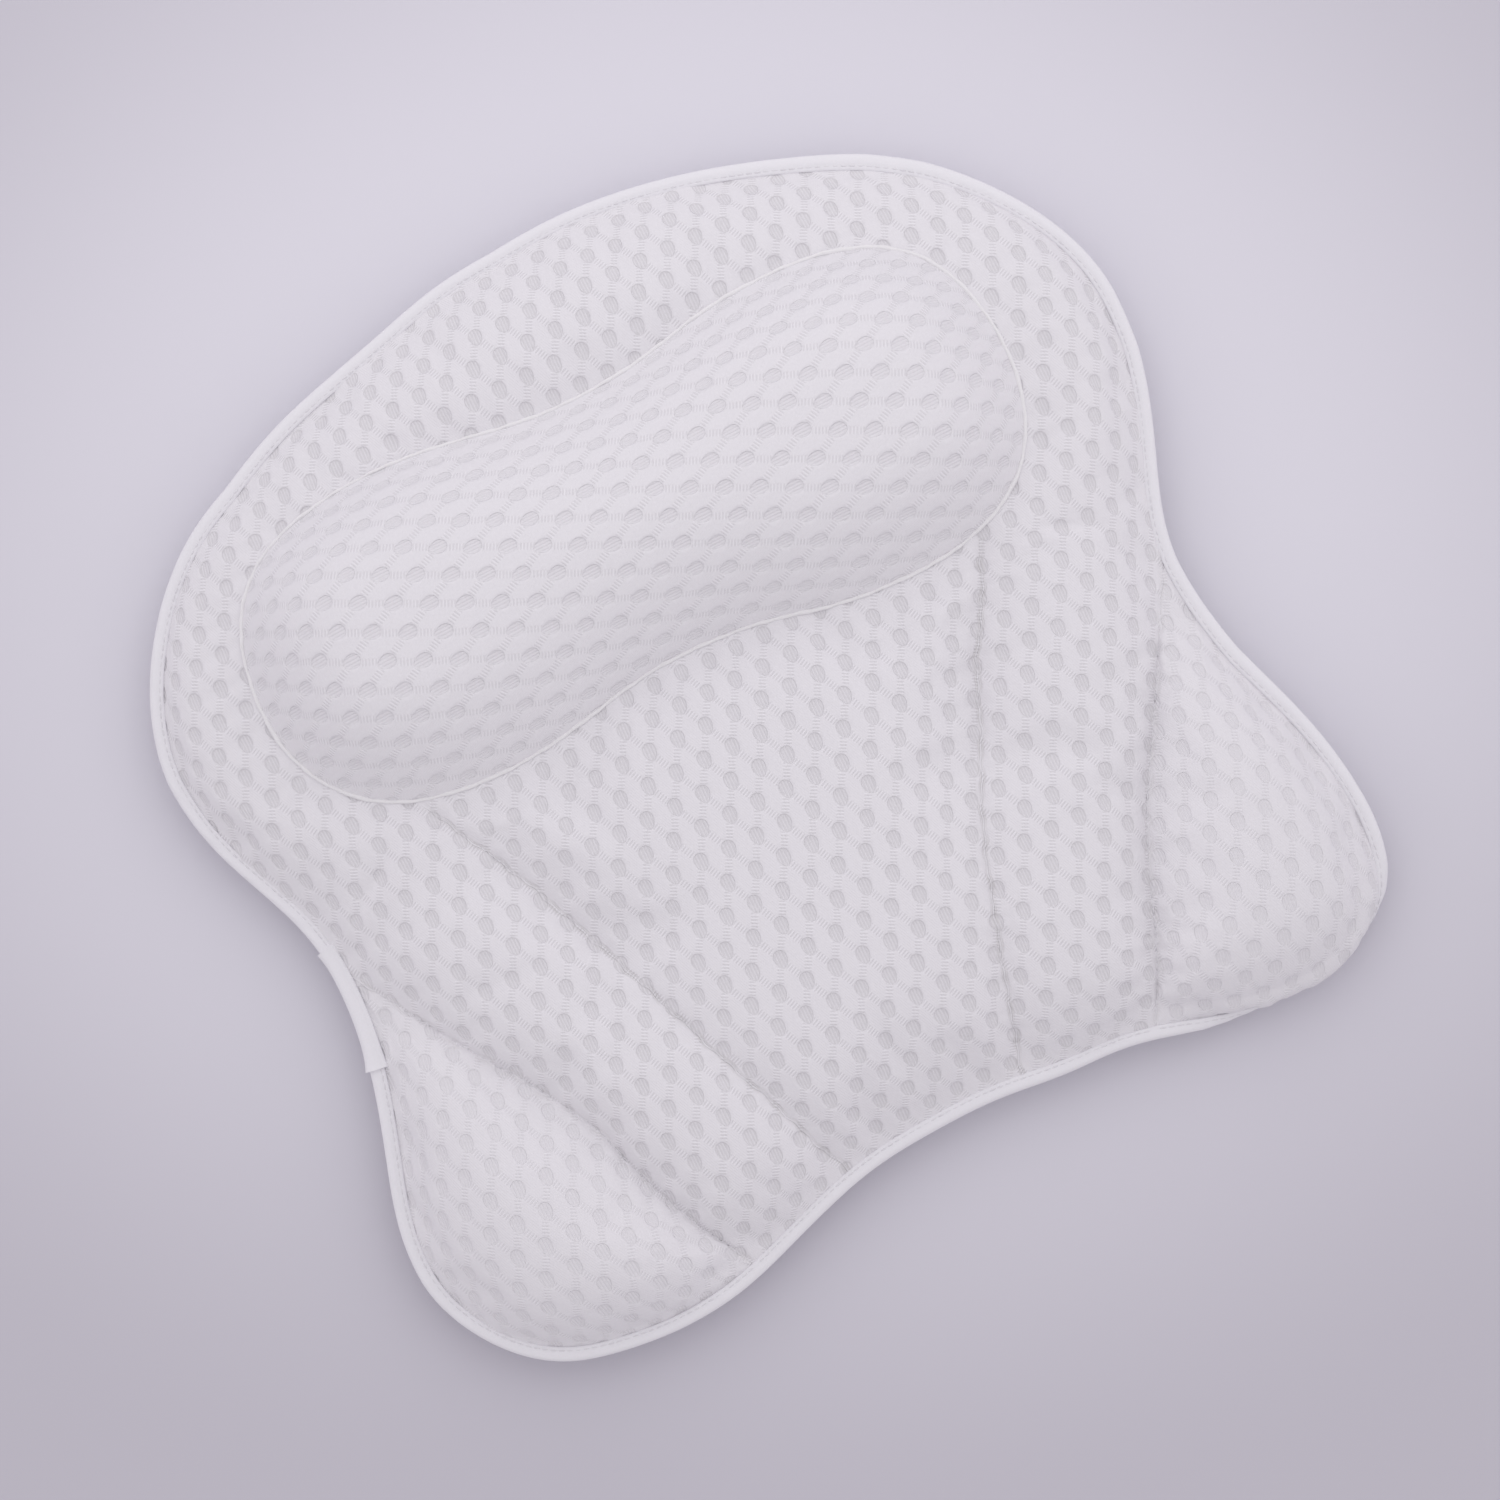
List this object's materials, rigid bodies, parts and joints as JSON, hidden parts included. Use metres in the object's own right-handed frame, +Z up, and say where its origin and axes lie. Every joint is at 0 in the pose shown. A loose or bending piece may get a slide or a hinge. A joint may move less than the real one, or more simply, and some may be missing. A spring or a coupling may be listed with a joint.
{
  "type": "bath pillow",
  "caption": "Quilted air-mesh bath pillow with a raised peanut-shaped neck bolster, folding shoulder wings, bound edge and suction cups on the back.",
  "frame": {"origin": "centre of the outline, on the plane that the suction cup rims stand on", "axes": "+X to the right seen from above with the head end up, +Y towards the head end, +Z up out of the cushion"},
  "size_m": [0.3988, 0.402, 0.0701],
  "materials": {
    "air_mesh": "white knitted spacer mesh with staggered oval holes",
    "binding_tape": "white woven tape, folded and stitched",
    "filling": "white polyester wadding",
    "clear_vinyl": "clear soft vinyl",
    "white_plastic": "white moulded plastic"
  },
  "bodies": {
    "pillow": {"top_cover": "air_mesh", "back_cover": "air_mesh", "body_filling": "filling", "bolster_cover": "air_mesh", "bolster_filling": "filling", "bolster_welt": "binding_tape", "head_binding": "binding_tape", "foot_binding": "binding_tape", "left_fold_seam": "binding_tape", "right_fold_seam": "binding_tape", "left_head_eyelet": "white_plastic", "left_head_washer": "white_plastic", "right_head_eyelet": "white_plastic", "right_head_washer": "white_plastic", "left_centre_eyelet": "white_plastic", "left_centre_washer": "white_plastic", "right_centre_eyelet": "white_plastic", "right_centre_washer": "white_plastic"},
    "left_wing": {"left_wing_top_cover": "air_mesh", "left_wing_back_cover": "air_mesh", "left_wing_filling": "filling", "left_wing_binding": "binding_tape", "left_wing_eyelet": "white_plastic", "left_wing_washer": "white_plastic"},
    "right_wing": {"right_wing_top_cover": "air_mesh", "right_wing_back_cover": "air_mesh", "right_wing_filling": "filling", "right_wing_binding": "binding_tape", "right_wing_eyelet": "white_plastic", "right_wing_washer": "white_plastic"},
    "left_head_cup": {"left_head_suction_cup": "clear_vinyl"},
    "right_head_cup": {"right_head_suction_cup": "clear_vinyl"},
    "left_centre_cup": {"left_centre_suction_cup": "clear_vinyl"},
    "right_centre_cup": {"right_centre_suction_cup": "clear_vinyl"},
    "left_wing_cup": {"left_wing_suction_cup": "clear_vinyl"},
    "right_wing_cup": {"right_wing_suction_cup": "clear_vinyl"}
  },
  "joints": [
    {"name": "left_wing_fold", "type": "hinge", "parent": "pillow", "child": "left_wing", "pos_m": [-0.13208, -0.10122, 0.01915], "axis": [-0.4545, 0.8907, 0], "range_deg": [-40, 60], "stiffness_Nm_per_rad": 0.15},
    {"name": "right_wing_fold", "type": "hinge", "parent": "pillow", "child": "right_wing", "pos_m": [0.13208, -0.10122, 0.01915], "axis": [-0.4545, -0.8907, 0], "range_deg": [-40, 60], "stiffness_Nm_per_rad": 0.15},
    {"name": "left_head_cup_turn", "type": "hinge", "parent": "pillow", "child": "left_head_cup", "pos_m": [-0.12846, 0.118, 0.0135], "axis": [0, 0, 1], "continuous": true},
    {"name": "right_head_cup_turn", "type": "hinge", "parent": "pillow", "child": "right_head_cup", "pos_m": [0.12846, 0.118, 0.0135], "axis": [0, 0, 1], "continuous": true},
    {"name": "left_centre_cup_turn", "type": "hinge", "parent": "pillow", "child": "left_centre_cup", "pos_m": [-0.04525, -0.06, 0.0135], "axis": [0, 0, 1], "continuous": true},
    {"name": "right_centre_cup_turn", "type": "hinge", "parent": "pillow", "child": "right_centre_cup", "pos_m": [0.04525, -0.06, 0.0135], "axis": [0, 0, 1], "continuous": true},
    {"name": "left_wing_cup_turn", "type": "hinge", "parent": "left_wing", "child": "left_wing_cup", "pos_m": [-0.15559, -0.14347, 0.0135], "axis": [0, 0, 1], "continuous": true},
    {"name": "right_wing_cup_turn", "type": "hinge", "parent": "right_wing", "child": "right_wing_cup", "pos_m": [0.15559, -0.14347, 0.0135], "axis": [0, 0, 1], "continuous": true}
  ]
}
